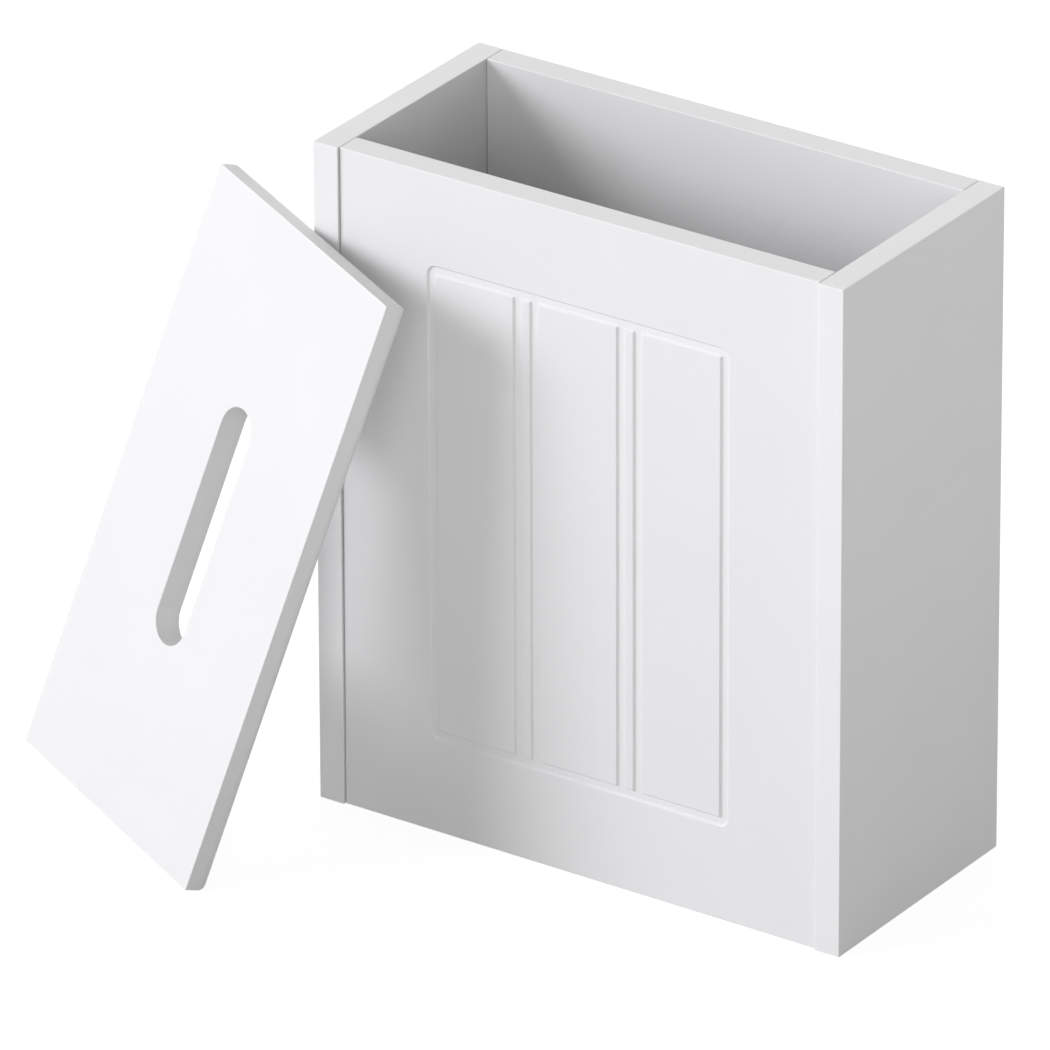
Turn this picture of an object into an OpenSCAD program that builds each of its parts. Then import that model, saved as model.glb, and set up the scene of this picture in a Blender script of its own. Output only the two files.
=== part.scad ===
// Storage box for spare toilet rolls, with a lift-off lid.
// Five painted boards make the open box. The front panel stands a little back from the side panels
// and has channels routed in it: a ring, and pairs of upright ones that divide it into flat boards.
// Cam fittings and dowels, all hidden, hold the boards. The lid is off: it stands on the floor on one
// corner and leans on the box's front left arris, with its rounded top turned to the box.
// The origin is the middle of the box's underside. +X is to the right, +Y to the back, +Z up.

/* [Box] */
// Width of the box over both side panels
box_w = 320; // [280:1:420]
// Depth of the side panels
box_d = 148; // [130:1:200]
// Height of the side panels
box_h = 372; // [345:1:460]
// Thickness of a side panel
side_t = 15; // [14:0.5:18]
// Thickness of the front panel
front_t = 15; // [14:0.5:18]
// Thickness of the back panel
back_t = 15; // [14:0.5:18]
// Thickness of the base panel
base_t = 15; // [14:0.5:18]
// How far the front panel stands back from the side panels' front edges
front_recess = 1.5; // [0:0.1:4]
// How far the front and back panels' tops lie below the side panels' tops
top_drop = 0.1; // [0:0.1:3]
// Gap between boards that butt together
butt_gap = 0.3; // [0.1:0.05:0.5]
// Size of the small chamfer on the boards' arrises
arris = 0.4; // [0.3:0.1:1]

/* [Routed front] */
// Flat boards that the ring of channels is divided into
flat_count = 3; // [2:1:5]
// Margin from the front panel's side edges to the ring
stile_w = 52.8; // [45:0.1:60]
// Margin from the front panel's top to the ring
top_rail = 50.8; // [30:0.1:70]
// Margin from the front panel's bottom to the ring
bottom_rail = 52.5; // [30:0.1:70]
// Width of a channel at the face
channel_w = 6; // [4:0.1:8]
// Depth of a channel
channel_d = 1; // [0.6:0.1:1.8]
// Width of each of a channel's sloping walls
channel_slope = 1.5; // [0.6:0.1:1.9]
// Flat strip between the two channels of a pair
bead_w = 4.2; // [2:0.1:10]

/* [Lid] */
// Thickness of the lid
lid_t = 15; // [12:0.5:18]
// How far the lid stands over each side of the box
lid_overhang = 7; // [0:0.5:12]
// Radius along the four arrises of the lid's top
lid_round = 7; // [2:0.5:9]
// Width of the finger slot, whose ends are half rounds
slot_w = 26.6; // [20:0.2:34]
// Length of the finger slot over its round ends
slot_l = 134; // [90:1:170]
// Turn of the leaning lid's foot edge about the upright axis
lid_yaw = 21.6; // [10:0.2:35]
// Angle at which the lid leans back
lid_lean = 17.8; // [12:0.2:24]
// Turn of the lid in its own plane, which lifts its left corner off the floor
lid_roll = 6.4; // [0:0.2:10]
// Place on the lid, left of its middle line, that touches the box's arris
lid_touch = 9.5; // [-20:0.5:30]
// Gap left between the leaning lid and the arris
lid_gap = 0.3; // [0.2:0.05:0.8]

/* [Fittings] */
// Diameter of a dowel
dowel_d = 8; // [6:0.5:8]
// Length of a dowel
dowel_l = 30; // [24:1:35]
// Length of a dowel's end in the side panel
dowel_seat = 10; // [8:0.5:11]
// Height of the lowest and distance from the top of the highest corner dowel
dowel_inset = 34; // [25:1:45]
// Height of the lower and distance from the top of the upper cam fitting
cam_inset = 66; // [60:1:90]
// Distance from a side panel's inner face to the middle of a cam
cam_reach = 34; // [30:1:36]
// Diameter of the bore for a cam
cam_bore_d = 15; // [14:0.5:16]
// Part of a cam beyond its bolt's axis
cam_below = 4.5; // [4.2:0.1:4.8]
// Diameter of a cam bolt's thread
thread_d = 5; // [4:0.5:6]
// Length of a cam bolt's thread
thread_l = 11; // [9:0.5:12]
// Diameter of a cam bolt's shank
shank_d = 7; // [6:0.5:7.4]
// Diameter of a cam bolt's neck
neck_d = 3.8; // [3:0.2:4.2]
// Diameter of a cam bolt's head
head_d = 6.2; // [5.6:0.2:6.6]
// Distance from a base dowel to the middle of the base
base_dowel_offset = 36; // [24:1:40]
// Clearance round a dowel, bolt or cam, on the radius
fit = 0.05; // [0.02:0.01:0.1]
// Room left at the end of a blind bore
bore_end = 0.5; // [0.2:0.1:1]

/* [Hidden] */
$fn = 64;
// Overlap of a cutting body past the face that it cuts
cut = 1;

// Planes of the boards
inner_x = box_w / 2 - side_t;
panel_half = inner_x - butt_gap;
front_y = -box_d / 2 + front_recess;
front_inner_y = front_y + front_t;
back_inner_y = box_d / 2 - back_t;
panel_h = box_h - top_drop;
base_front_y = front_inner_y + butt_gap;
base_back_y = back_inner_y - butt_gap;

// The ring of channels, measured to its outer arris
ring_half = panel_half - stile_w;
ring_low = bottom_rail;
ring_high = panel_h - top_rail;
pair_w = 2 * channel_w + bead_w;
// How far a channel's walls, drawn on past the face, widen the cutting body
flare = cut * channel_slope / channel_d;
flat_w = (2 * (ring_half - channel_w) - (flat_count - 1) * pair_w) / flat_count;

// Axes of the dowels and cam fittings at the side panels, as [y, z]
front_mid_y = front_y + front_t / 2;
back_mid_y = box_d / 2 - back_t / 2;
base_mid_y = (base_front_y + base_back_y) / 2;
base_mid_z = base_t / 2;
dowel_heights = [dowel_inset, panel_h / 2, panel_h - dowel_inset];
cam_heights = [cam_inset, panel_h - cam_inset];
front_dowel_spots = [for (z = dowel_heights) [front_mid_y, z]];
back_dowel_spots = [for (z = dowel_heights) [back_mid_y, z]];
base_dowel_spots = [for (k = [-1, 1]) [base_mid_y + k * base_dowel_offset, base_mid_z]];
front_cam_spots = [for (z = cam_heights) [front_mid_y, z]];
back_cam_spots = [for (z = cam_heights) [back_mid_y, z]];
base_cam_spots = [[base_mid_y, base_mid_z]];

// Parts of a cam fitting
end_bore_d = shank_d + 1;
cam_d = cam_bore_d - 2 * fit;
head_near = 1.2;
head_far = 4.4;
neck_far = cam_bore_d / 2 + 0.6;
pocket_d = 2 * head_far + 0.8;
neck_slot = neck_d + 0.6;
mouth_d = head_d + 0.6;
dowel_chamfer = 1;

// The lid's size, and the directions of its width, thickness and length in the room
lid_l = box_w + 2 * lid_overhang;
lid_w = box_d + 2 * lid_overhang;
function in_room(v) =
    let (
        a = v[0] * cos(lid_roll) + v[2] * sin(lid_roll),
        c = v[2] * cos(lid_roll) - v[0] * sin(lid_roll),
        b = v[1] * cos(lid_lean) + c * sin(lid_lean)
    )
    [
        a * cos(lid_yaw) + b * sin(lid_yaw),
        b * cos(lid_yaw) - a * sin(lid_yaw),
        c * cos(lid_lean) - v[1] * sin(lid_lean)
    ];
width_dir = in_room([1, 0, 0]);
thick_dir = in_room([0, 1, 0]);
length_dir = in_room([0, 0, 1]);

// Height of the lid's middle, with its lowest, rounded corner on the floor
lid_mid_z = abs(width_dir[2]) * (lid_w / 2 - lid_round)
    + abs(length_dir[2]) * (lid_l / 2 - lid_round)
    + abs(thick_dir[2]) * (lid_t / 2 - lid_round)
    + lid_round * norm([abs(width_dir[2]) + abs(length_dir[2]), thick_dir[2]]);

// The lid's upper rounding touches the box's upright arris. On a box lower than that, the lid's back
// face touches the arris's top instead.
box_arris = [-box_w / 2, -box_d / 2];
rounding_axis = in_room([-lid_touch, lid_t / 2 - lid_round, lid_l / 2 - lid_round]);
towards_box = [-width_dir[1], width_dir[0]] / norm([width_dir[0], width_dir[1]]);
back_at_middle = in_room([-lid_touch, lid_t / 2, 0]);
back_at_top = back_at_middle + length_dir * (box_h - lid_mid_z - back_at_middle[2]) / length_dir[2];
touches_rounding = lid_mid_z + rounding_axis[2] <= box_h;
touch_offset = touches_rounding
    ? [for (k = [0, 1]) rounding_axis[k] + towards_box[k] * (lid_round + lid_gap)]
    : [for (k = [0, 1]) back_at_top[k] + towards_box[k] * lid_gap];
lid_mid = [box_arris[0] - touch_offset[0], box_arris[1] - touch_offset[1], lid_mid_z];

// Outlines and boards

// Rectangle from the origin with its corners cut off at 45 degrees
module cut_rectangle(w, h, c) {
    polygon([[c, 0], [w - c, 0], [w, c], [w, h - c], [w - c, h], [c, h], [0, h - c], [0, c]]);
}

// Board from the origin, with a small chamfer on all twelve arrises
module board(size) {
    intersection() {
        linear_extrude(size[2]) cut_rectangle(size[0], size[1], arris);
        translate([0, size[1], 0]) rotate([90, 0, 0])
            linear_extrude(size[1]) cut_rectangle(size[0], size[2], arris);
        rotate([90, 0, 90]) linear_extrude(size[0]) cut_rectangle(size[1], size[2], arris);
    }
}

// Board between two opposite corners
module board_between(low, high) {
    translate(low) board(high - low);
}

// Puts its children at points on a side panel's inner face, with their z pointing into that panel
module at_joint(side, spots) {
    for (spot = spots)
        translate([side * inner_x, spot[0], spot[1]]) rotate([0, side * 90, 0]) children();
}

// Puts a cam at its bolt's end, with z out of the board's face and x towards the side panel
module at_cam(side, spots, board_t, up_face) {
    for (spot = spots)
        translate([side * (inner_x - cam_reach), spot[0], spot[1]])
            rotate([up_face ? -90 : 180, 0, 0])
                rotate([0, 0, side > 0 ? 0 : 180])
                    translate([0, 0, board_t / 2]) children();
}

// Bores

// Bores across a board's end: one for each dowel, and one for each cam bolt with that for its cam
module end_bores(board_t, dowel_spots, cam_spots, up_face) {
    for (side = [-1, 1]) {
        at_joint(side, dowel_spots)
            translate([0, 0, dowel_seat - dowel_l - bore_end])
                cylinder(d = dowel_d + 2 * fit, h = dowel_l - dowel_seat + bore_end + cut);
        at_joint(side, cam_spots)
            translate([0, 0, -cam_reach]) cylinder(d = end_bore_d, h = cam_reach + cut);
        at_cam(side, cam_spots, board_t, up_face)
            translate([0, 0, -cam_height(board_t) - fit])
                cylinder(d = cam_bore_d, h = cam_height(board_t) + fit + cut);
    }
}

// Bores in a side panel's inner face
module face_bores(side) {
    at_joint(side, concat(front_dowel_spots, back_dowel_spots, base_dowel_spots))
        translate([0, 0, -cut]) cylinder(d = dowel_d + 2 * fit, h = dowel_seat + bore_end + cut);
    at_joint(side, concat(front_cam_spots, back_cam_spots, base_cam_spots))
        translate([0, 0, -cut]) cylinder(d = thread_d + 2 * fit, h = thread_l + bore_end + cut);
}

// The routed front

// Section of a channel as the router leaves it, as (across, depth), from one arris to the other
module channel_section() {
    polygon([
        [-flare, -cut], [channel_w + flare, -cut],
        [channel_w - channel_slope, channel_d], [channel_slope, channel_d]
    ]);
}

// Straight channel from the origin along z, cut into the face at y = 0 and running to the right of x = 0
module channel(length) {
    linear_extrude(length) channel_section();
}

// Quarter turn of the router round a flat board's corner, which stays sharp
module channel_corner() {
    intersection() {
        rotate([90, 0, 0]) mirror([0, 0, 1])
            rotate_extrude() polygon([
                [0, -cut], [channel_w + flare, -cut],
                [channel_w - channel_slope, channel_d], [channel_slope, channel_d], [0, 0]
            ]);
        translate([-channel_w - flare, -cut, 0])
            cube([channel_w + flare, channel_d + 2 * cut, channel_w + flare]);
    }
}

// Ring of channels with round outer corners, and the pairs of upright channels inside it
module routing() {
    inner_half = ring_half - channel_w;
    inner_low = ring_low + channel_w;
    inner_high = ring_high - channel_w;
    translate([-ring_half, 0, inner_low]) channel(inner_high - inner_low);
    translate([inner_half, 0, inner_low]) channel(inner_high - inner_low);
    for (z = [ring_low, inner_high])
        translate([-inner_half, 0, z + channel_w]) rotate([0, 90, 0]) channel(2 * inner_half);
    for (x = [-1, 1])
        for (z = [-1, 1])
            translate([x * inner_half, 0, z > 0 ? inner_high : inner_low])
                mirror([x > 0 ? 1 : 0, 0, 0]) mirror([0, 0, z > 0 ? 0 : 1]) channel_corner();
    for (k = [1 : flat_count - 1])
        for (x = [0, channel_w + bead_w])
            translate([-inner_half + k * flat_w + (k - 1) * pair_w + x, 0, ring_low + channel_w / 2])
                channel(ring_high - ring_low - channel_w);
}

// Lid

// Section of the lid across one of its directions: sharp below, rounded above
module lid_section(width) {
    difference() {
        translate([-width / 2, -lid_t / 2]) square([width, lid_t]);
        for (side = [-1, 1])
            scale([side, 1])
                translate([width / 2 - lid_round, lid_t / 2 - lid_round])
                    difference() {
                        square(lid_round + cut);
                        circle(lid_round);
                    }
    }
}

// Lid about its own middle: x across, y from its underside to its rounded top, z along it
module lid_board() {
    difference() {
        intersection() {
            translate([0, 0, -lid_l / 2]) linear_extrude(lid_l) lid_section(lid_w);
            translate([-lid_w / 2, 0, 0]) rotate([90, 0, 90])
                linear_extrude(lid_w) rotate(90) mirror([0, 1, 0]) lid_section(lid_l);
        }
        translate([0, lid_t / 2 + cut, 0]) rotate([90, 0, 0])
            linear_extrude(lid_t + 2 * cut) {
                square([slot_w, slot_l - slot_w], center = true);
                for (side = [-1, 1])
                    translate([0, side * (slot_l - slot_w) / 2]) circle(d = slot_w);
            }
    }
}

// Fittings

// Hardwood dowel across the joint, chamfered at both ends
module dowel() {
    r = dowel_d / 2;
    rotate_extrude() polygon([
        [0, dowel_seat - dowel_l], [r - dowel_chamfer, dowel_seat - dowel_l],
        [r, dowel_seat - dowel_l + dowel_chamfer], [r, dowel_seat - dowel_chamfer],
        [r - dowel_chamfer, dowel_seat], [0, dowel_seat]
    ]);
}

// Cam bolt: a thread in the side panel, a shank, a neck, and the head that the cam draws in
module cam_bolt() {
    rotate_extrude() polygon([
        [0, head_near - cam_reach], [head_d / 2, head_near - cam_reach],
        [head_d / 2, head_far - cam_reach], [neck_d / 2, head_far - cam_reach],
        [neck_d / 2, neck_far - cam_reach], [shank_d / 2, neck_far - cam_reach],
        [shank_d / 2, 0], [thread_d / 2, 0],
        [thread_d / 2, thread_l - 1], [thread_d / 2 - 1, thread_l], [0, thread_l]
    ]);
}

// Height of a cam, which comes in a size for each board thickness
function cam_height(board_t) = board_t / 2 + cam_below;

// Cam with its top at z = 0, turned home: the neck has run along the slot from the mouth
module cam_lock(board_t) {
    mouth_turn = -150;
    slot_turn = 170;
    cross_l = 8;
    cross_w = 1.4;
    cross_d = 2.2;
    difference() {
        translate([0, 0, -cam_height(board_t)]) cylinder(d = cam_d, h = cam_height(board_t));
        translate([0, 0, -board_t / 2 - mouth_d / 2]) cylinder(d = pocket_d, h = mouth_d);
        translate([0, 0, -board_t / 2]) rotate([0, 0, mouth_turn]) rotate([0, 90, 0])
            cylinder(d = mouth_d, h = cam_bore_d);
        translate([0, 0, -board_t / 2 - neck_slot / 2]) rotate([0, 0, mouth_turn])
            rotate_extrude(angle = slot_turn) square([cam_bore_d, neck_slot]);
        for (turn = [0, 90])
            rotate([0, 0, turn])
                translate([-cross_l / 2, -cross_w / 2, -cross_d]) cube([cross_l, cross_w, cross_d + cut]);
    }
}

// Nodes

module left_side_panel() {
    color("#eeeef0") difference() {
        board_between([-box_w / 2, -box_d / 2, 0], [-inner_x, box_d / 2, box_h]);
        face_bores(-1);
    }
}

module right_side_panel() {
    color("#eeeef0") difference() {
        board_between([inner_x, -box_d / 2, 0], [box_w / 2, box_d / 2, box_h]);
        face_bores(1);
    }
}

module front_panel() {
    color("#f2f2f4") difference() {
        board_between([-panel_half, front_y, 0], [panel_half, front_inner_y, panel_h]);
        translate([0, front_y, 0]) routing();
        end_bores(front_t, front_dowel_spots, front_cam_spots, true);
    }
}

module back_panel() {
    color("#eeeef0") difference() {
        board_between([-panel_half, back_inner_y, 0], [panel_half, box_d / 2, panel_h]);
        end_bores(back_t, back_dowel_spots, back_cam_spots, true);
    }
}

module base_panel() {
    color("#eeeef0") difference() {
        board_between([-panel_half, base_front_y, 0], [panel_half, base_back_y, base_t]);
        end_bores(base_t, base_dowel_spots, base_cam_spots, false);
    }
}

module lid() {
    color("#f6f6f8")
        translate(lid_mid)
            rotate([0, 0, -lid_yaw]) rotate([-lid_lean, 0, 0]) rotate([0, lid_roll, 0]) lid_board();
}

module dowels(side, spots) {
    color("#c8a06a") at_joint(side, spots) dowel();
}

module cam_bolts(side, spots) {
    color("#b8bcc0") at_joint(side, spots) cam_bolt();
}

module cam_locks(side, spots, board_t, up_face) {
    color("#a4a8ac") at_cam(side, spots, board_t, up_face) cam_lock(board_t);
}

left_side_panel();
right_side_panel();
front_panel();
back_panel();
base_panel();
lid();
dowels(-1, front_dowel_spots);  // front_left_dowels
dowels(1, front_dowel_spots);  // front_right_dowels
dowels(-1, back_dowel_spots);  // back_left_dowels
dowels(1, back_dowel_spots);  // back_right_dowels
dowels(-1, base_dowel_spots);  // base_left_dowels
dowels(1, base_dowel_spots);  // base_right_dowels
cam_bolts(-1, front_cam_spots);  // front_left_cam_bolts
cam_bolts(1, front_cam_spots);  // front_right_cam_bolts
cam_bolts(-1, back_cam_spots);  // back_left_cam_bolts
cam_bolts(1, back_cam_spots);  // back_right_cam_bolts
cam_bolts(-1, base_cam_spots);  // base_left_cam_bolt
cam_bolts(1, base_cam_spots);  // base_right_cam_bolt
cam_locks(-1, front_cam_spots, front_t, true);  // front_left_cam_locks
cam_locks(1, front_cam_spots, front_t, true);  // front_right_cam_locks
cam_locks(-1, back_cam_spots, back_t, true);  // back_left_cam_locks
cam_locks(1, back_cam_spots, back_t, true);  // back_right_cam_locks
cam_locks(-1, base_cam_spots, base_t, false);  // base_left_cam_lock
cam_locks(1, base_cam_spots, base_t, false);  // base_right_cam_lock
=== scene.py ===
"""Looks of a white painted storage box for spare toilet rolls, with its loose lid leaning on it.

The boards, dowels and cam bolts are new surfaces over the CAD nodes that they replace, the boards with
rounded arrises and the front panel with its routed channels. The cam locks are the CAD's own, with a
new material. Sizes are in millimetres until a mesh is made.
"""
import math

import bmesh
import bpy
import numpy as np
from mathutils import Matrix, Vector
from mathutils.geometry import delaunay_2d_cdt


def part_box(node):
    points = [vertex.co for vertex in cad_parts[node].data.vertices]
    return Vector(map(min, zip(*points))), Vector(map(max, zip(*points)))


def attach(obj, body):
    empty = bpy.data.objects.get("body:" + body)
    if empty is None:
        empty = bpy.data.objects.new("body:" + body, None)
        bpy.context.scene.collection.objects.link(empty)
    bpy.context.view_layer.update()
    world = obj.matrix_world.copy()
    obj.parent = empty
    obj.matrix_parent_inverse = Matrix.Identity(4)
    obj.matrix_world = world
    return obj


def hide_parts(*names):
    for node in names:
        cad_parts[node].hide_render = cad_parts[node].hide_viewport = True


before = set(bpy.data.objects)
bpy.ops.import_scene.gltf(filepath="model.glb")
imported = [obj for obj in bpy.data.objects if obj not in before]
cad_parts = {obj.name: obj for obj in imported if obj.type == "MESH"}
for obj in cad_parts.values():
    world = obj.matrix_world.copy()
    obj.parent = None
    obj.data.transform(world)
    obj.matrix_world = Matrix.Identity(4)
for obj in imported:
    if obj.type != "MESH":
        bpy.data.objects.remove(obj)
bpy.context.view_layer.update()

MM = 0.001
X, Y, Z = range(3)
# Points of a mesh nearer than the first are merged, and edges shorter than the second go; in metres
MERGE, NO_EDGE = 2e-7, 1e-8
# Points of a ring nearer than the first are one, and the triangulation's own limit; in millimetres
SAME_POINT, CUT_LIMIT = 1e-6, 1e-7
# A normal shorter than this has no direction
NO_LENGTH = 1e-12
# Roundings from this radius up get more steps
FINE_ROUND = 2.0
# How dull the routed channels are, from 0 to 1, and the lid's slot and underside
CUT_WEAR, LID_WEAR = 1.0, 0.6
# How the triangulation treats rings inside the outer one
INSIDE_BUT_HOLES = 2

# Materials of a board, by number: its outer paint, its bare core and its inner paint, which is darker as
# painted shade
OUTER, CORE, INNER = range(3)
# Materials of the lid, by number: that of its edges and top, and that of its underside and slot, a
# darker paint as painted shade
EDGES, UNDERSIDE = range(2)
# How light some paint is against the front's: on the side boards, and, darker as painted shade, on
# the lid's underside, on the side boards' inner faces and on the other boards' inner faces
SIDE_TONE, LID_PAINTED_SHADE, SIDE_INNER_PAINTED_SHADE, INNER_PAINTED_SHADE = 1.03, 0.93, 0.87, 0.93

# Arrises of the painted boards, and those along the right side board's inner face, which catch the light
ARRIS, INNER_ARRIS = 0.4, 0.8
ARRIS_STEPS, ROUND_STEPS = 5, 20

# Routed front, as in the part: channels are measured at the face. Their walls are a little steeper
# and deeper, by 0.2 mm, as the photograph's dark and bright lines show them
FLAT_COUNT = 3
STILE_W, TOP_RAIL, BOTTOM_RAIL = 52.8, 50.8, 52.5
CHANNEL_W, BEAD_W = 6.0, 4.2
CHANNEL_D, CHANNEL_SLOPE = 1.2, 1.2
WALL_STEPS, CORNER_STEPS = 10, 16

# Lid, as in the part
LID_W, LID_L, LID_T = 162.0, 334.0, 15.0
LID_ROUND = 7.0
LID_ARRIS = 0.45
LID_CORNER = 0.9
SLOT_W, SLOT_L = 26.6, 134.0
SLOT_ARRIS = 0.5
SLOT_STEPS = 24
LID_YAW, LID_LEAN, LID_ROLL = 21.6, 17.8, 6.4
# Steps with which the rounding's furthest point is looked for
REACH_STEPS = 720

# Cam fittings, as in the part
CAM_BORE_R = 7.5
CAM_REACH = 34.0
CAM_INSET = 66.0
CAM_DEEP = 12.05
BORE_RIM = 0.25
BORE_STEPS, RIM_STEPS = 48, 3

# Dowels and cam bolts, as in the part; their places run from a side panel's inner face, into it
DOWEL_R, DOWEL_START, DOWEL_END, DOWEL_CHAMFER = 4.0, -20.0, 10.0, 1.0
FLUTES, FLUTE_DEEP, FLUTE_STEPS = 16, 0.35, 8
DOWEL_INSET, BASE_DOWEL_OFFSET = 34.0, 36.0
HEAD_R, NECK_R, SHANK_R = 3.1, 1.9, 3.5
HEAD_START, HEAD_END, NECK_END = -32.8, -29.6, -25.9
HEAD_EDGE = 0.4
THREAD_R, CORE_R, THREAD_L, THREAD_PITCH = 2.5, 1.9, 11.0, 1.8
TIP_R, TIP_L = 1.1, 1.2
THREAD_STEPS, TURN_STEPS = 12, 48
# How steep a thread's ridge is, and the steps along the bolt over which the thread starts
RIDGE_STEEP, RIDGE_START = 2.4, 4

# Camera: a very long lens, turned round the box and looking down on it
CAMERA_AIM = (-0.06563, -0.02356, 0.16148)
CAMERA_DISTANCE = 7.2305
CAMERA_TURN = 34.403
CAMERA_ELEVATION = 25.984
CAMERA_ROLL = -0.227
CAMERA_LENS = 485.18
SENSOR = 36.0

# Soft lamps: how far each is turned from straight in front towards the right, how high it is and how
# wide it looks, in degrees, and its strength
LAMPS = {
    "window": (-46.4, 23.8, 28, 1.84),
    "left_low": (-60, 12, 40, 0.43),
    "left": (-90, 15, 40, 0.42),
    "right_low": (30, 12, 40, 0.97),
    "behind_left": (-135, 45, 40, 0.33),
    "behind": (180, 30, 40, 0.38),
    "behind_right": (135, 15, 40, 0.27),
}
# Colours of the window's light, a little blue, and of the others
WINDOW_COLOUR, LAMP_COLOUR = (0.985, 0.985, 1.02), (1.0, 1.0, 1.0)
# Strength of the even light from all round, which nobody sees
ROOM_LIGHT = 0.313
WHITE = (1, 1, 1, 1)

# Floor: half its size in metres, and its greys as it lights the object, near it and further away;
# the darker grey near it is painted shade on the light that the floor throws onto the box
FLOOR_HALF = 40.0
FLOOR_GREYS, FLOOR_REACH = (0.35, 0.7), (0.3, 0.9)
# How the floor looks: a glow, and a dim grey that the light adds and the object's shadow takes away
FLOOR_GLOW, FLOOR_DIM = 0.86, (0.25, 0.25, 0.25, 1)

# Paint: its two greys, its roughness from and to, and how much rougher a fully dull place is
PAINT_GREYS = ((0.785, 0.785, 0.789), (0.8, 0.8, 0.804))
PAINT_ROUGH, DULL_ROUGH = (0.38, 0.46), 0.4
# Bare fibreboard and beech: their dark and pale colours, and how rough they are
CORE_COLOURS, CORE_ROUGH = ((0.33, 0.2, 0.11), (0.52, 0.36, 0.22)), 0.9
BEECH_COLOURS, BEECH_ROUGH = ((0.42, 0.24, 0.12), (0.62, 0.42, 0.25)), 0.7
# Metals: their colour, their roughness from and to, and how much darker their dark spots are
PLATE_COLOUR, PLATE_ROUGH = (0.62, 0.64, 0.66), (0.22, 0.34)
ZINC_COLOUR, ZINC_ROUGH = (0.48, 0.49, 0.5), (0.36, 0.5)
METAL_SHADE = 0.86
# Spans of a noise's values that are stretched to a pattern's whole range
WIDE_SPAN, TIGHT_SPAN = (0.3, 0.7), (0.35, 0.65)


# Surfaces


def quarter(steps):
    """Angles of a quarter round, from 0 to 90 degrees."""
    return np.linspace(0.0, math.pi / 2, steps + 1)


def outline(steps=ARRIS_STEPS):
    """Columns round a rectangle's corners, anticlockwise: side signs (a, b) and an angle that turns
    through a quarter round at each corner."""
    signs = np.repeat([(1, -1), (1, 1), (-1, 1), (-1, -1)], steps + 1, axis=0)
    angles = np.concatenate([quarter(steps) + (k - 1) * math.pi / 2 for k in range(4)])
    return np.column_stack([signs, angles])


def low_arris(radius, corner=None):
    """Rows round an arris of a face at height 0, from the face to the edge: inset, height, outward
    and upward part of the normal, corner radius.

    A corner radius that isn't given shrinks with the inset, so that three arrises meet in a piece of
    a sphere.
    """
    t = quarter(ARRIS_STEPS if radius < FINE_ROUND else ROUND_STEPS)
    inset = radius * (1 - np.sin(t))
    corners = radius - inset if corner is None else np.full_like(t, corner)
    return np.stack([inset, radius * (1 - np.cos(t)), np.sin(t), -np.cos(t), corners], 1)


def edge_profile(thick, low, high, low_corner=None, high_corner=None):
    """Rows across a board's edge, from an arris of radius low at height 0 to one of radius high at its
    thickness."""
    upper = low_arris(high, high_corner)[::-1]
    upper[:, 1] = thick - upper[:, 1]
    upper[:, 3] *= -1
    return np.concatenate([low_arris(low, low_corner), upper])


def ring_of(half_a, half_b, columns, inset, corner):
    """Points round the rectangle's outline, drawn in by inset, with that corner radius."""
    centre = columns[:, :2] * (np.array([half_a, half_b]) - inset - corner)
    return centre + corner * np.stack([np.cos(columns[:, 2]), np.sin(columns[:, 2])], 1)


def edge_skin(half_a, half_b, columns, profile, wear=0.0):
    """Skin round a rectangle, an outline's columns by a profile's rows."""
    points, normals = [], []
    angle = columns[:, 2]
    for inset, height, out, up, corner in profile:
        ring = ring_of(half_a, half_b, columns, inset, corner)
        points.append(np.column_stack([ring, np.full(len(ring), height)]))
        normals.append(np.stack([out * np.cos(angle), out * np.sin(angle), np.full(len(ring), up)], 1))
    return grid(np.array(points), np.array(normals), closed=True, wear=wear)


def grid(points, normals, closed=False, wear=0.0):
    """Patch of quads over a grid of points, rows by columns, closed round its columns or not."""
    rows, cols = points.shape[:2]
    index = np.arange(rows * cols).reshape(rows, cols)
    if closed:
        index = np.hstack([index, index[:, :1]])
    quads = np.stack([index[:-1, :-1], index[:-1, 1:], index[1:, 1:], index[1:, :-1]], -1)
    wear = np.broadcast_to(wear, (rows, cols)).reshape(-1)
    return points.reshape(-1, 3), normals.reshape(-1, 3), quads.reshape(-1, 4).tolist(), wear


def flat_face(outer, holes, height, up, wear=0.0):
    """Flat patch inside an outer ring of (a, b) points and outside the rings of its holes."""
    rings = [distinct(ring) for ring in [outer, *holes]]
    ends = np.cumsum([len(r) for r in rings])
    loops = [list(range(end - len(r), end)) for r, end in zip(rings, ends)]
    points = [Vector(p) for p in np.concatenate(rings)]
    made = delaunay_2d_cdt(points, [], loops, INSIDE_BUT_HOLES, CUT_LIMIT)
    found = np.array([tuple(v) for v in made[0]])
    points = np.column_stack([found, np.full(len(found), height)])
    normals = np.tile([0.0, 0.0, up], (len(found), 1))
    return points, normals, [list(f) for f in made[2]], np.full(len(found), wear)


def distinct(ring):
    """A ring's points, without those that are where the one before is."""
    return ring[np.linalg.norm(ring - np.roll(ring, 1, axis=0), axis=1) > SAME_POINT]


def circle(centre, radius, steps=BORE_STEPS):
    """Ring of points round a circle."""
    t = np.arange(steps) * 2 * math.pi / steps
    return np.asarray(centre) + radius * np.stack([np.cos(t), np.sin(t)], 1)


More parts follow.
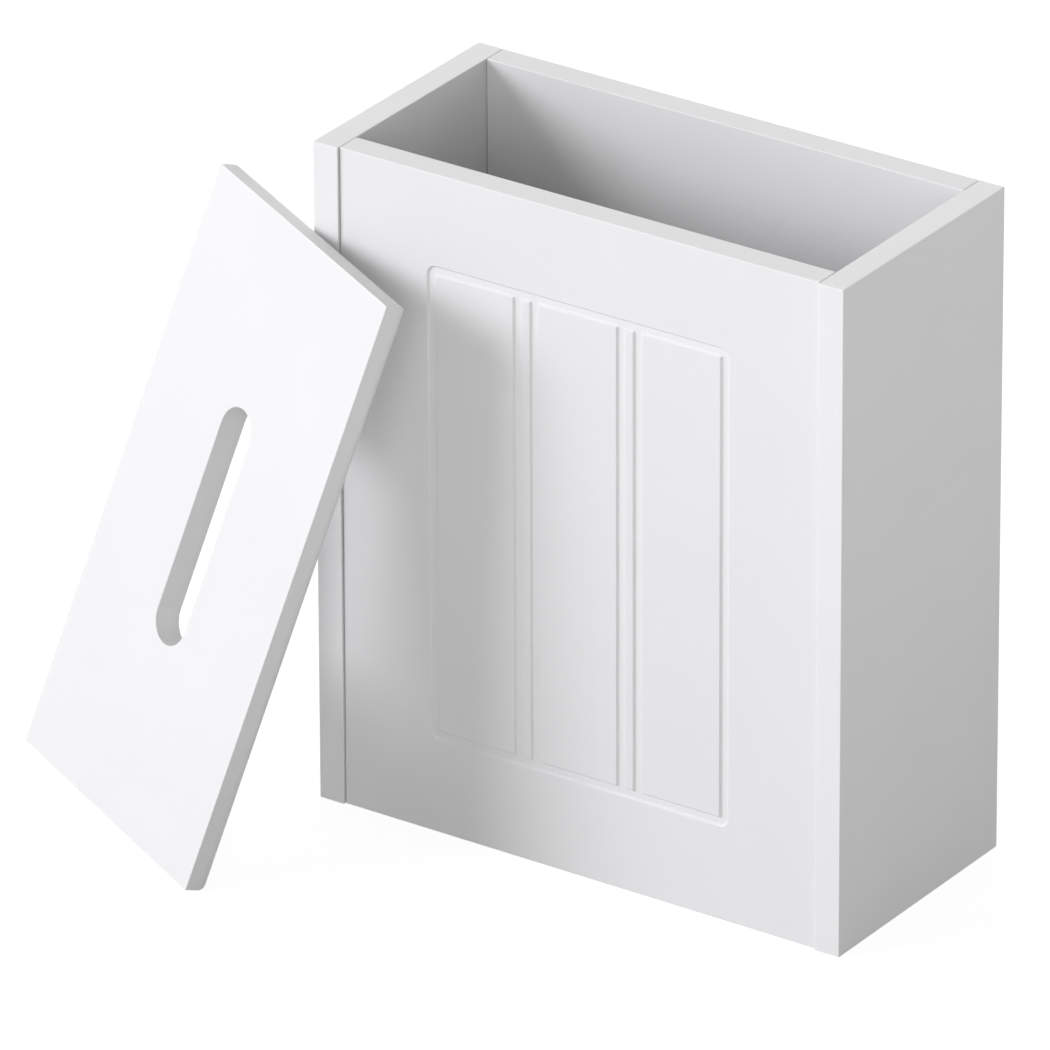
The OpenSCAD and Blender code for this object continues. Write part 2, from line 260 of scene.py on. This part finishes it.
def blind_bore(centre, radius, height, up, deep):
    """Wall and floor of a bore down from a face, with a small rounding where the drill broke the paint.

    Its rows are radius, depth, and the inward and upward part of the normal.
    """
    rows = [
        (radius + BORE_RIM * (1 - np.sin(a)), BORE_RIM * (1 - np.cos(a)), np.sin(a), np.cos(a))
        for a in quarter(RIM_STEPS)
    ]
    rows += [(radius, deep, 1.0, 0.0)]
    outward = circle((0, 0), 1.0)
    points, normals = [], []
    for r, down, side, lift in rows:
        points.append(np.column_stack([circle(centre, r), np.full(BORE_STEPS, height - up * down)]))
        normals.append(np.column_stack([-side * outward, np.full(BORE_STEPS, up * lift)]))
    wall = grid(np.array(points), np.array(normals), closed=True)
    floor = flat_face(circle(centre, radius), [], height - up * deep, up)
    return [wall, floor]


def slot_ring(width, length):
    """Points and outward directions round a slot with half-round ends, longer along b."""
    t = np.linspace(0, math.pi, SLOT_STEPS + 1)
    round_end = np.stack([np.cos(t), np.sin(t)], 1)
    reach = (length - width) / 2
    points = np.concatenate([round_end * width / 2 + (0, reach), -round_end * width / 2 - (0, reach)])
    return points, np.concatenate([round_end, -round_end])


# Objects


def solid(name, patches, place, body, replaced, materials, kinds=None):
    """One closed mesh from patches that meet point on point, as a piece that replaces CAD nodes.

    Each face is turned to agree with its patch's normals, and doubles are merged. The patches'
    normals and wear are kept by face corner, so that flat faces are shaded flat, arrises round, and
    wear stops at an arris.
    """
    points = np.concatenate([p[0] for p in patches])
    normals = np.concatenate([p[1] for p in patches])
    wear = np.concatenate([p[3] for p in patches])
    faces, kind, start = [], [], 0
    for number, patch in enumerate(patches):
        faces += [[i + start for i in f] for f in patch[2]]
        kind += [0 if kinds is None else kinds[number]] * len(patch[2])
        start += len(patch[0])
    points, normals = place(points, normals)

    mesh = bpy.data.meshes.new(name)
    mesh.from_pydata(points * MM, [], faces)
    mesh.polygons.foreach_set("material_index", np.array(kind, np.int32))
    corners = np.empty(len(mesh.loops), np.int32)
    mesh.loops.foreach_get("vertex_index", corners)
    worn = mesh.attributes.new("wear", "FLOAT", "CORNER")
    worn.data.foreach_set("value", wear[corners].astype(np.float32))
    facing = mesh.attributes.new("facing", "FLOAT_VECTOR", "CORNER")
    facing.data.foreach_set("vector", normals[corners].ravel())

    work = bmesh.new()
    work.from_mesh(mesh)
    layer = work.loops.layers.float_vector["facing"]
    inward = [f for f in work.faces if sum((c[layer] for c in f.loops), Vector()).dot(f.normal) < 0]
    bmesh.ops.reverse_faces(work, faces=inward)
    bmesh.ops.remove_doubles(work, verts=work.verts, dist=MERGE)
    bmesh.ops.dissolve_degenerate(work, edges=work.edges, dist=NO_EDGE)
    work.to_mesh(mesh)
    work.free()

    directions = np.empty(len(mesh.loops) * 3, np.float32)
    mesh.attributes["facing"].data.foreach_get("vector", directions)
    mesh.polygons.foreach_set("use_smooth", np.ones(len(mesh.polygons), bool))
    mesh.normals_split_custom_set(directions.reshape(-1, 3))
    mesh.attributes.remove(mesh.attributes["facing"])
    for material in materials:
        mesh.materials.append(material)

    piece = bpy.data.objects.new(name, mesh)
    bpy.context.scene.collection.objects.link(piece)
    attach(piece, body)
    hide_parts(*replaced)


def node_box(node):
    """A CAD node's lowest and highest corners in millimetres."""
    low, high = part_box(node)
    return np.array(low) / MM, np.array(high) / MM


def standing(node, axes):
    """Half sizes, thickness and placing of a board whose face runs along two room axes.

    axes names the room axis of the board's a, b and thickness, the last with a sign: its faces lie
    from the low or from the high end of the node's box.
    """
    low, high = node_box(node)
    a, b, (c, sense) = axes
    middle = (low + high) / 2
    start = low[c] if sense > 0 else high[c]

    def place(points, normals):
        """Moves the board's own (a, b, height) places onto its CAD node."""
        placed, facing = np.empty_like(points), np.empty_like(normals)
        placed[:, a], placed[:, b] = points[:, 0] + middle[a], points[:, 1] + middle[b]
        placed[:, c] = start + sense * points[:, 2]
        facing[:, a], facing[:, b], facing[:, c] = normals[:, 0], normals[:, 1], sense * normals[:, 2]
        return placed, facing

    size = high - low
    return size[a] / 2, size[b] / 2, size[c], place


def plain_board(name, node, axes, inside, materials, bores=(), low_radius=ARRIS):
    """Board with rounded arrises, and blind bores for cams in the face at height 0.

    inside tells which face, 0 at height 0 or 1 at the thickness, is turned to the inside of the box.
    Arrises have low_radius at height 0. Corner radii shrink with the insets of the outer face's arrises.
    """
    half_a, half_b, thick, place = standing(node, axes)
    columns = outline()
    profile = edge_profile(thick, low_radius, ARRIS)
    profile[:, 4] = np.maximum(ARRIS - profile[:, 0], 0)
    patches = [edge_skin(half_a, half_b, columns, profile)]
    low_ring = ring_of(half_a, half_b, columns, low_radius, 0.0)
    high_ring = ring_of(half_a, half_b, columns, ARRIS, 0.0)
    patches.append(flat_face(low_ring, [circle(c, CAM_BORE_R + BORE_RIM) for c in bores], 0.0, -1.0))
    patches.append(flat_face(high_ring, [], thick, 1.0))
    kinds = [OUTER, OUTER, OUTER]
    kinds[1 + inside] = INNER
    for centre in bores:
        patches += blind_bore(centre, CAM_BORE_R, 0.0, -1.0, CAM_DEEP)
        kinds += [CORE, CORE]
    solid(name, patches, place, "box", [node], materials, kinds)


# The routed front


def channel_walls(half_a, half_b, sign):
    """Skin down a channel's wall to its floor: that of an island that stands in it, for sign 1, or
    the channel's own outer wall, for -1. Half sizes are those at the face.

    At s from 0 at the face to 1 at the floor the wall is CHANNEL_SLOPE x s out from the arris and
    CHANNEL_D x (1 - cos(pi x s)) / 2 deep. An island's corners turn round its sharp corner at the
    face, and so do the outer wall's, with the channel's width as the radius there.
    """
    s = np.linspace(0, 1, WALL_STEPS + 1)
    away, deep = CHANNEL_SLOPE * s, CHANNEL_D * (1 - np.cos(math.pi * s)) / 2
    steep = CHANNEL_D / CHANNEL_SLOPE * math.pi / 2 * np.sin(math.pi * s)
    flat = 1 / np.hypot(1, steep)
    corner = away if sign > 0 else CHANNEL_W - away
    rows = np.stack([-sign * away, deep, sign * steep * flat, -flat, corner], 1)
    columns = outline(ARRIS_STEPS if sign > 0 else CORNER_STEPS)
    ends = [ring_of(half_a, half_b, columns, row[0], row[4]) for row in rows[[0, -1]]]
    return edge_skin(half_a, half_b, columns, rows, wear=CUT_WEAR), *ends


def moved(patch, a, b):
    """A patch moved along the board."""
    return patch[0] + (a, b, 0), *patch[1:]


def routed_face(half_a, half_b, rim):
    """Front face with its ring of channels and the flats and beads that stand inside it as islands."""
    low, high = BOTTOM_RAIL - half_b, half_b - TOP_RAIL
    ring_a, ring_b, middle = half_a - STILE_W, (high - low) / 2, (high + low) / 2
    wall, mouth, foot = channel_walls(ring_a, ring_b, -1)
    pair = 2 * CHANNEL_W + BEAD_W
    inner_a, inner_b = ring_a - CHANNEL_W, ring_b - CHANNEL_W
    flat = (2 * inner_a - (FLAT_COUNT - 1) * pair) / FLAT_COUNT
    islands = [(k * (flat + pair) + flat / 2 - inner_a, flat / 2) for k in range(FLAT_COUNT)]
    islands += [(k * (flat + pair) - pair / 2 - inner_a, BEAD_W / 2) for k in range(1, FLAT_COUNT)]
    patches = [moved(wall, 0, middle), flat_face(rim, [mouth + (0, middle)], 0.0, -1.0)]
    feet = []
    for a, half in islands:
        skin, top, base = channel_walls(half, inner_b, 1)
        patches += [moved(skin, a, middle), flat_face(top + (a, middle), [], 0.0, -1.0)]
        feet.append(base + (a, middle))
    patches.append(flat_face(foot + (0, middle), feet, CHANNEL_D, -1.0, wear=CUT_WEAR))
    return patches


def front_board(materials):
    """Front panel: edges, the routed face, and cam bores in its inner face."""
    half_a, half_b, thick, place = standing("front_panel", (X, Z, (Y, 1)))
    columns = outline()
    rim = ring_of(half_a, half_b, columns, ARRIS, 0.0)
    spots = cam_spots(half_b)
    patches = [edge_skin(half_a, half_b, columns, edge_profile(thick, ARRIS, ARRIS))]
    patches += routed_face(half_a, half_b, rim)
    patches.append(flat_face(rim, [circle(c, CAM_BORE_R + BORE_RIM) for c in spots], thick, 1.0))
    kinds = [OUTER] * (len(patches) - 1) + [INNER]
    for centre in spots:
        patches += blind_bore(centre, CAM_BORE_R, thick, 1.0, CAM_DEEP)
        kinds += [CORE, CORE]
    solid("front_board", patches, place, "box", ["front_panel"], materials, kinds)


def inner_face():
    """Distance from the box's middle to a side panel's inner face."""
    return node_box("right_side_panel")[0][X]


def cam_spots(half_b):
    """Middles of the four cams of a panel, from its middle."""
    reach = inner_face() - CAM_REACH
    return [(s * reach, t * (half_b - CAM_INSET)) for s in (-1, 1) for t in (-1, 1)]


# Lid


def lid_axes():
    """Room directions of the lid's width, length and thickness, as rows."""
    turn = (
        Matrix.Rotation(math.radians(-LID_YAW), 3, "Z")
        @ Matrix.Rotation(math.radians(-LID_LEAN), 3, "X")
        @ Matrix.Rotation(math.radians(LID_ROLL), 3, "Y")
    )
    return np.array([turn.col[k] for k in (0, 2, 1)])


def lid_reach(axes, direction):
    """Furthest reach of the lid's shape along a room direction, from its own middle.

    The underside's corners are sharp. The top's edges are the meeting of two rounded sections, and
    no point of it is further out than the rounding's own furthest point.
    """
    a, b, c = axes @ direction
    sharp = abs(a) * LID_W / 2 + abs(b) * LID_L / 2 - c * LID_T / 2
    t = quarter(REACH_STEPS)
    inset, height = LID_ROUND * (1 - np.cos(t)), LID_T / 2 - LID_ROUND * (1 - np.sin(t))
    rounded = (abs(a) * (LID_W / 2 - inset) + abs(b) * (LID_L / 2 - inset) + c * height).max()
    return max(sharp, rounded)


def lid_board(materials):
    """Lid: sharp below, rounded above, with a slot through it whose ends are half rounds.

    Rows down the slot's wall are how far it is from the slot's ring, height, and the inward and
    upward part of the normal.
    """
    axes = lid_axes()
    low, high = node_box("lid")
    shift = [(lid_reach(axes, d) - lid_reach(axes, -d)) / 2 for d in np.eye(3)]
    centre = (low + high) / 2 - shift

    def place(points, normals):
        """Turns and moves the lid's own (across, along, through) places onto its CAD node."""
        return (points - (0, 0, LID_T / 2)) @ axes + centre, normals @ axes

    columns = outline()
    profile = edge_profile(LID_T, LID_ARRIS, LID_ROUND, LID_CORNER, LID_CORNER)
    patches = [edge_skin(LID_W / 2, LID_L / 2, columns, profile)]
    under = ring_of(LID_W / 2, LID_L / 2, columns, LID_ARRIS, LID_CORNER)
    over = ring_of(LID_W / 2, LID_L / 2, columns, LID_ROUND, LID_CORNER)

    points, out = slot_ring(SLOT_W, SLOT_L)
    rows = edge_profile(LID_T, SLOT_ARRIS, SLOT_ARRIS)
    count = len(points)
    wall = np.array([np.column_stack([points + out * away, np.full(count, h)]) for away, h, *_ in rows])
    facing = np.array([np.column_stack([-out * side, np.full(count, up)]) for _, _, side, up, _ in rows])
    patches.append(grid(wall, facing, closed=True, wear=LID_WEAR))
    rim = points + out * SLOT_ARRIS
    patches.append(flat_face(under, [rim], 0.0, -1.0, wear=LID_WEAR))
    patches.append(flat_face(over, [rim], LID_T, 1.0))
    kinds = [EDGES, UNDERSIDE, UNDERSIDE, EDGES]
    solid("lid_board", patches, place, "lid", ["lid"], materials, kinds)


# Dowels and cam bolts


def turned(height, radius):
    """Patch turned about the axis: height by row and column, radius by row and column, columns evenly
    round one turn and the last one on the first. Normals are the cross product of its two directions.
    """
    turn = np.linspace(0, 2 * math.pi, radius.shape[1])
    points = np.stack([radius * np.cos(turn), radius * np.sin(turn), height], -1)
    around = np.stack([-radius * np.sin(turn), radius * np.cos(turn), np.zeros_like(radius)], -1)
    slope = (np.roll(radius[:, :-1], -1, 1) - np.roll(radius[:, :-1], 1, 1)) / (2 * turn[1])
    slope = np.hstack([slope, slope[:, :1]])[..., None]
    around += slope * np.stack([np.cos(turn), np.sin(turn), np.zeros_like(turn)], -1)
    normals = np.cross(around, np.gradient(points, axis=0))
    normals /= np.maximum(np.linalg.norm(normals, axis=-1, keepdims=True), NO_LENGTH)
    return grid(points, normals)


def band(low, high, columns):
    """Conical patch between two (height, radius) places."""
    ends = np.array([low, high])[:, :, None] * np.ones(columns + 1)
    return turned(ends[:, 0], ends[:, 1])


def fluted_dowel():
    """Hardwood dowel: a round rod less FLUTE_DEEP x (half of 1 - cos FLUTES x turn), squared, with
    chamfered ends on which the flutes fade."""
    columns = FLUTES * FLUTE_STEPS
    turn = np.linspace(0, 2 * math.pi, columns + 1)
    flute = FLUTE_DEEP * ((1 - np.cos(FLUTES * turn)) / 2) ** 2
    end_r = DOWEL_R - DOWEL_CHAMFER
    places = [
        (DOWEL_START, end_r, 0), (DOWEL_START + DOWEL_CHAMFER, DOWEL_R, 1),
        (DOWEL_END - DOWEL_CHAMFER, DOWEL_R, 1), (DOWEL_END, end_r, 0),
    ]
    height = np.array([[h] * (columns + 1) for h, _, _ in places])
    radius = np.array([r - k * flute for _, r, k in places])
    patches = [turned(height[i:i + 2], radius[i:i + 2]) for i in range(len(places) - 1)]
    ring = circle((0, 0), end_r, columns)
    return patches + [flat_face(ring, [], DOWEL_START, -1.0), flat_face(ring, [], DOWEL_END, 1.0)]


def thread():
    """Coarse thread: rows climb one pitch a turn, and the radius rises to a sharp ridge once a pitch,
    as 1 - RIDGE_STEEP x distance from the ridge in pitches, and fades at both ends."""
    step = THREAD_PITCH / THREAD_STEPS
    length = THREAD_L - TIP_L
    rows = np.arange(-THREAD_STEPS, math.ceil(length / step) + 1)
    climb = np.linspace(0, THREAD_PITCH, TURN_STEPS + 1)
    height = np.clip(rows[:, None] * step + climb, 0, length)
    from_ridge = np.abs((rows % THREAD_STEPS) / THREAD_STEPS - 0.5)[:, None]
    fade = np.clip(height / step / RIDGE_START, 0, 1) * np.clip((length - height) / THREAD_PITCH, 0, 1)
    radius = CORE_R + (THREAD_R - CORE_R) * np.clip(1 - RIDGE_STEEP * from_ridge, 0, 1) * fade
    return turned(height, radius)


def cam_bolt():
    """Cam bolt: head with worn edges, neck, shank and thread, between flat ends."""
    places = [
        (HEAD_START, HEAD_R - HEAD_EDGE), (HEAD_START + HEAD_EDGE, HEAD_R),
        (HEAD_END - HEAD_EDGE, HEAD_R), (HEAD_END, HEAD_R - HEAD_EDGE),
        (HEAD_END, NECK_R), (NECK_END, NECK_R),
        (NECK_END, SHANK_R - HEAD_EDGE), (NECK_END + HEAD_EDGE, SHANK_R),
        (0.0, SHANK_R), (0.0, CORE_R),
    ]
    patches = [band(places[i], places[i + 1], TURN_STEPS) for i in range(len(places) - 1)]
    patches += [thread(), band((THREAD_L - TIP_L, CORE_R), (THREAD_L, TIP_R), TURN_STEPS)]
    patches.append(flat_face(circle((0, 0), HEAD_R - HEAD_EDGE, TURN_STEPS), [], HEAD_START, -1.0))
    patches.append(flat_face(circle((0, 0), TIP_R, TURN_STEPS), [], THREAD_L, 1.0))
    return patches


def at_joint(patches, side, spots):
    """Copies of patches along a joint, each turned so that its axis runs into that side panel."""
    turn = np.array([[0.0, 0.0, -side], [0.0, 1.0, 0.0], [side, 0.0, 0.0]])
    copies = []
    for spot in spots:
        where = np.array([side * inner_face(), *spot])
        copies += [(p @ turn + where, n @ turn, faces, wear) for p, n, faces, wear in patches]
    return copies


def joint_spots(board, inset):
    """Two places (y, z) on a panel's upright end, that far from its bottom and from its top."""
    low, high = node_box(board)
    y = (low[Y] + high[Y]) / 2
    return [(y, low[Z] + inset), (y, high[Z] - inset)]


def fittings(dowel_material, bolt_material):
    """Dowels and cam bolts of every joint, each joint's as one piece over its CAD node."""
    low, high = node_box("base_panel")
    base_y, base_z = (low[Y] + high[Y]) / 2, (low[Z] + high[Z]) / 2
    dowel, bolt = fluted_dowel(), cam_bolt()
    # For each panel, the places of its dowels and of its bolts
    base_dowels = [(base_y + k * BASE_DOWEL_OFFSET, base_z) for k in (-1, 1)]
    spots = {"base": (base_dowels, [(base_y, base_z)])}
    for panel in ("front", "back"):
        dowels = joint_spots(panel + "_panel", DOWEL_INSET)
        middle = tuple(np.mean(dowels, axis=0))
        spots[panel] = ([*dowels, middle], joint_spots(panel + "_panel", CAM_INSET))
    for panel, (dowels, bolts) in spots.items():
        for side, word in ((-1, "left"), (1, "right")):
            end = f"{panel}_{word}_"
            solid(end + "fluted_dowels", at_joint(dowel, side, dowels), as_is, "box",
                  [end + "dowels"], [dowel_material])
            node = end + ("cam_bolt" if len(bolts) == 1 else "cam_bolts")
            solid(end + "threaded_bolts", at_joint(bolt, side, bolts), as_is, "box",
                  [node], [bolt_material])


def as_is(points, normals):
    """Places that are in the room already."""
    return points, normals


# Materials


def new_material(name):
    """Node material with a Principled shader, and its nodes, links and shader."""
    material = bpy.data.materials.new(name)
    material.use_nodes = True
    nodes = material.node_tree.nodes
    return material, nodes, material.node_tree.links, nodes["Principled BSDF"]


def noise(nodes, links, scale, detail, stretch=(1, 1, 1)):
    """Noise on Object coordinates, which are first multiplied by stretch along each axis."""
    place = nodes.new("ShaderNodeTexCoord")
    mapping = nodes.new("ShaderNodeMapping")
    mapping.inputs["Scale"].default_value = stretch
    texture = nodes.new("ShaderNodeTexNoise")
    texture.inputs["Scale"].default_value = scale
    texture.inputs["Detail"].default_value = detail
    links.new(place.outputs["Object"], mapping.inputs["Vector"])
    links.new(mapping.outputs["Vector"], texture.inputs["Vector"])
    return texture.outputs["Fac"]


def ranged(nodes, links, value, span, to=(0.0, 1.0)):
    """A value mapped from a span of it to another span."""
    node = nodes.new("ShaderNodeMapRange")
    node.inputs["From Min"].default_value, node.inputs["From Max"].default_value = span
    node.inputs["To Min"].default_value, node.inputs["To Max"].default_value = to
    links.new(value, node.inputs["Value"])
    return node.outputs["Result"]


def mixed(nodes, links, value, first, second):
    """A colour between two, by a value."""
    node = nodes.new("ShaderNodeMix")
    node.data_type = "RGBA"
    node.inputs["A"].default_value, node.inputs["B"].default_value = (*first, 1), (*second, 1)
    links.new(value, node.inputs["Factor"])
    return node.outputs["Result"]


def bump(nodes, links, shader, height, distance, strength):
    """Bump of a height pattern, distance metres deep."""
    node = nodes.new("ShaderNodeBump")
    node.inputs["Distance"].default_value = distance
    node.inputs["Strength"].default_value = strength
    links.new(height, node.inputs["Height"])
    links.new(node.outputs["Normal"], shader.inputs["Normal"])


def satin_paint(name, tone_and_shade=1.0):
    """White satin spray paint: a faint orange peel, cloudy sheen, and duller by the surface's wear. Its
    greys are scaled by tone_and_shade: a tone of their own on the side boards, painted shade on the
    inner faces and the lid's underside.
    """
    material, nodes, links, shader = new_material(name)
    clouds = ranged(nodes, links, noise(nodes, links, scale=14.0, detail=3.0), WIDE_SPAN)
    greys = [tuple(tone_and_shade * part for part in grey) for grey in PAINT_GREYS]
    links.new(mixed(nodes, links, clouds, *greys), shader.inputs["Base Color"])
    sheen = ranged(nodes, links, noise(nodes, links, scale=60.0, detail=4.0), WIDE_SPAN, PAINT_ROUGH)
    wear = nodes.new("ShaderNodeAttribute")
    wear.attribute_name = "wear"
    dull = nodes.new("ShaderNodeMath")
    dull.operation = "MULTIPLY_ADD"
    dull.inputs[1].default_value = DULL_ROUGH
    links.new(wear.outputs["Fac"], dull.inputs[0])
    links.new(sheen, dull.inputs[2])
    links.new(dull.outputs["Value"], shader.inputs["Roughness"])
    peel = noise(nodes, links, scale=620.0, detail=2.0)
    bump(nodes, links, shader, peel, distance=0.00001, strength=0.6)
    return material


def raw_fibreboard():
    """Bare core of the boards where a bore cut it: tan, with short pale and dark fibres."""
    material, nodes, links, shader = new_material("raw_fibreboard")
    streaks = noise(nodes, links, scale=900.0, detail=6.0, stretch=(1, 1, 0.35))
    fibres = ranged(nodes, links, streaks, TIGHT_SPAN)
    links.new(mixed(nodes, links, fibres, *CORE_COLOURS), shader.inputs["Base Color"])
    shader.inputs["Roughness"].default_value = CORE_ROUGH
    fuzz = noise(nodes, links, scale=1500.0, detail=5.0)
    bump(nodes, links, shader, fuzz, distance=0.0002, strength=0.8)
    return material


def beech():
    """Bare beech dowel: long grain along the dowel, with short dark flecks."""
    material, nodes, links, shader = new_material("bare_beech")
    streaks = noise(nodes, links, scale=900.0, detail=5.0, stretch=(0.04, 1, 1))
    grain = ranged(nodes, links, streaks, TIGHT_SPAN)
    links.new(mixed(nodes, links, grain, *BEECH_COLOURS), shader.inputs["Base Color"])
    shader.inputs["Roughness"].default_value = BEECH_ROUGH
    bump(nodes, links, shader, grain, distance=0.00008, strength=0.5)
    return material


def metal(name, colour, rough, scale, deep):
    """Bare metal whose colour, gloss and surface vary at a scale, deep metres deep."""
    material, nodes, links, shader = new_material(name)
    shader.inputs["Metallic"].default_value = 1.0
    pattern = noise(nodes, links, scale, detail=4.0)
    shade = tuple(METAL_SHADE * part for part in colour)
    spots = ranged(nodes, links, pattern, TIGHT_SPAN)
    links.new(mixed(nodes, links, spots, shade, colour), shader.inputs["Base Color"])
    links.new(ranged(nodes, links, pattern, WIDE_SPAN, rough), shader.inputs["Roughness"])
    bump(nodes, links, shader, pattern, distance=deep, strength=0.6)
    return material


# Stage


def towards(turn, rise):
    """Direction in the room, turned from straight in front towards the right and raised, in degrees."""
    turn, rise = math.radians(turn), math.radians(rise)
    return Vector((math.sin(turn) * math.cos(rise), -math.cos(turn) * math.cos(rise), math.sin(rise)))


def camera_view():
    """The photograph's camera: aimed from its turn and elevation, then rolled about its axis."""
    back = towards(CAMERA_TURN, CAMERA_ELEVATION)
    camera = bpy.data.objects.new("camera", bpy.data.cameras.new("camera"))
    camera.data.lens, camera.data.sensor_width = CAMERA_LENS, SENSOR
    look = (-back).to_track_quat("-Z", "Y").to_matrix().to_4x4()
    roll = Matrix.Rotation(math.radians(CAMERA_ROLL), 4, "Z")
    camera.matrix_world = Matrix.Translation(Vector(CAMERA_AIM) + back * CAMERA_DISTANCE) @ look @ roll
    bpy.context.scene.collection.objects.link(camera)
    bpy.context.scene.camera = camera


def soft_lamp(name, turn, rise, width, strength, colour):
    """Distant lamp: its turn, its rise and its apparent width are in degrees."""
    lamp = bpy.data.lights.new(name, "SUN")
    lamp.energy, lamp.angle, lamp.color = strength, math.radians(width), colour
    holder = bpy.data.objects.new(name, lamp)
    holder.rotation_mode = "QUATERNION"
    holder.rotation_quaternion = towards(turn, rise).to_track_quat("Z", "Y")
    bpy.context.scene.collection.objects.link(holder)


def seen_or_lit(nodes, links):
    """1 for rays from the camera, and through or off gloss and glass, 0 for rays that light things."""
    path = nodes.new("ShaderNodeLightPath")
    total = path.outputs["Is Camera Ray"]
    for ray in ("Is Glossy Ray", "Is Transmission Ray"):
        added = nodes.new("ShaderNodeMath")
        added.operation = "ADD"
        added.use_clamp = True
        links.new(total, added.inputs[0])
        links.new(path.outputs[ray], added.inputs[1])
        total = added.outputs[0]
    return total


def chosen(nodes, links, lit, seen, output):
    """One shader for rays that light things and another for rays that are seen, to an output."""
    choose = nodes.new("ShaderNodeMixShader")
    links.new(seen_or_lit(nodes, links), choose.inputs["Fac"])
    links.new(lit.outputs[0], choose.inputs[1])
    links.new(seen.outputs[0], choose.inputs[2])
    links.new(choose.outputs[0], output.inputs["Surface"])


def world_light():
    """Even light from all round, and white to the camera."""
    world = bpy.data.worlds.new("studio")
    world.use_nodes = True
    bpy.context.scene.world = world
    nodes, links = world.node_tree.nodes, world.node_tree.links
    lit, seen = nodes["Background"], nodes.new("ShaderNodeBackground")
    for background, strength in ((lit, ROOM_LIGHT), (seen, 1.0)):
        background.inputs["Color"].default_value = WHITE
        background.inputs["Strength"].default_value = strength
    chosen(nodes, links, lit, seen, nodes["World Output"])


def floor():
    """Wide pale floor, white to the camera but for the object's soft shadow."""
    mesh = bpy.data.meshes.new("floor")
    corners = [(a * FLOOR_HALF, b * FLOOR_HALF, 0) for a, b in ((-1, -1), (1, -1), (1, 1), (-1, 1))]
    mesh.from_pydata(corners, [], [(0, 1, 2, 3)])
    plane = bpy.data.objects.new("floor", mesh)
    bpy.context.scene.collection.objects.link(plane)
    material = bpy.data.materials.new("studio_floor")
    material.use_nodes = True
    nodes, links = material.node_tree.nodes, material.node_tree.links
    nodes.remove(nodes["Principled BSDF"])
    lit, dim = nodes.new("ShaderNodeBsdfDiffuse"), nodes.new("ShaderNodeBsdfDiffuse")
    where = nodes.new("ShaderNodeTexCoord")
    away = nodes.new("ShaderNodeVectorMath")
    away.operation = "LENGTH"
    links.new(where.outputs["Object"], away.inputs[0])
    # Darker near the object: painted shade on the light the floor throws back onto the box's lower faces
    grey = ranged(nodes, links, away.outputs["Value"], FLOOR_REACH, FLOOR_GREYS)
    links.new(grey, lit.inputs["Color"])
    dim.inputs["Color"].default_value = FLOOR_DIM
    glow = nodes.new("ShaderNodeEmission")
    glow.inputs["Strength"].default_value = FLOOR_GLOW
    seen = nodes.new("ShaderNodeAddShader")
    links.new(dim.outputs[0], seen.inputs[0])
    links.new(glow.outputs[0], seen.inputs[1])
    chosen(nodes, links, lit, seen, nodes["Material Output"])
    mesh.materials.append(material)


# The object

white_paint, core = satin_paint("satin_white_paint"), raw_fibreboard()
# The inner faces' paint is a darker copy of the white: painted shade inside the box
boards = (white_paint, core, satin_paint("inner_white_painted_shade", INNER_PAINTED_SHADE))
side_paint = satin_paint("satin_side_paint", SIDE_TONE)
# The side boards' inner paint is likewise darker: painted shade inside the box
sides = (side_paint, core, satin_paint("inner_side_painted_shade", SIDE_INNER_PAINTED_SHADE))

plain_board("left_side_board", "left_side_panel", (Y, Z, (X, -1)), 0, sides)
plain_board("right_side_board", "right_side_panel", (Y, Z, (X, 1)), 0, sides, low_radius=INNER_ARRIS)
front_board(boards)
back_axes = (X, Z, (Y, -1))
back_cams = cam_spots(standing("back_panel", back_axes)[1])
plain_board("back_board", "back_panel", back_axes, 1, boards, back_cams)
base_cams = [(side * (inner_face() - CAM_REACH), 0.0) for side in (-1, 1)]
plain_board("base_board", "base_panel", (X, Y, (Z, 1)), 1, boards, base_cams)
# The lid's underside and slot get a darker copy of the paint, as painted shade on its lit face
lid_board([white_paint, satin_paint("lid_underside_painted_shade", LID_PAINTED_SHADE)])

fittings(beech(), metal("zinc_plated_steel", PLATE_COLOUR, PLATE_ROUGH, scale=400.0, deep=0.00002))
cast_zinc = metal("cast_zinc", ZINC_COLOUR, ZINC_ROUGH, scale=700.0, deep=0.00006)
for node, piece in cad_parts.items():
    if "cam_lock" in node:
        piece.data.materials.clear()
        piece.data.materials.append(cast_zinc)

camera_view()
world_light()
floor()
for lamp_name, lamp_values in LAMPS.items():
    soft_lamp(lamp_name, *lamp_values, WINDOW_COLOUR if lamp_name == "window" else LAMP_COLOUR)
bpy.context.scene.view_settings.view_transform = "Standard"
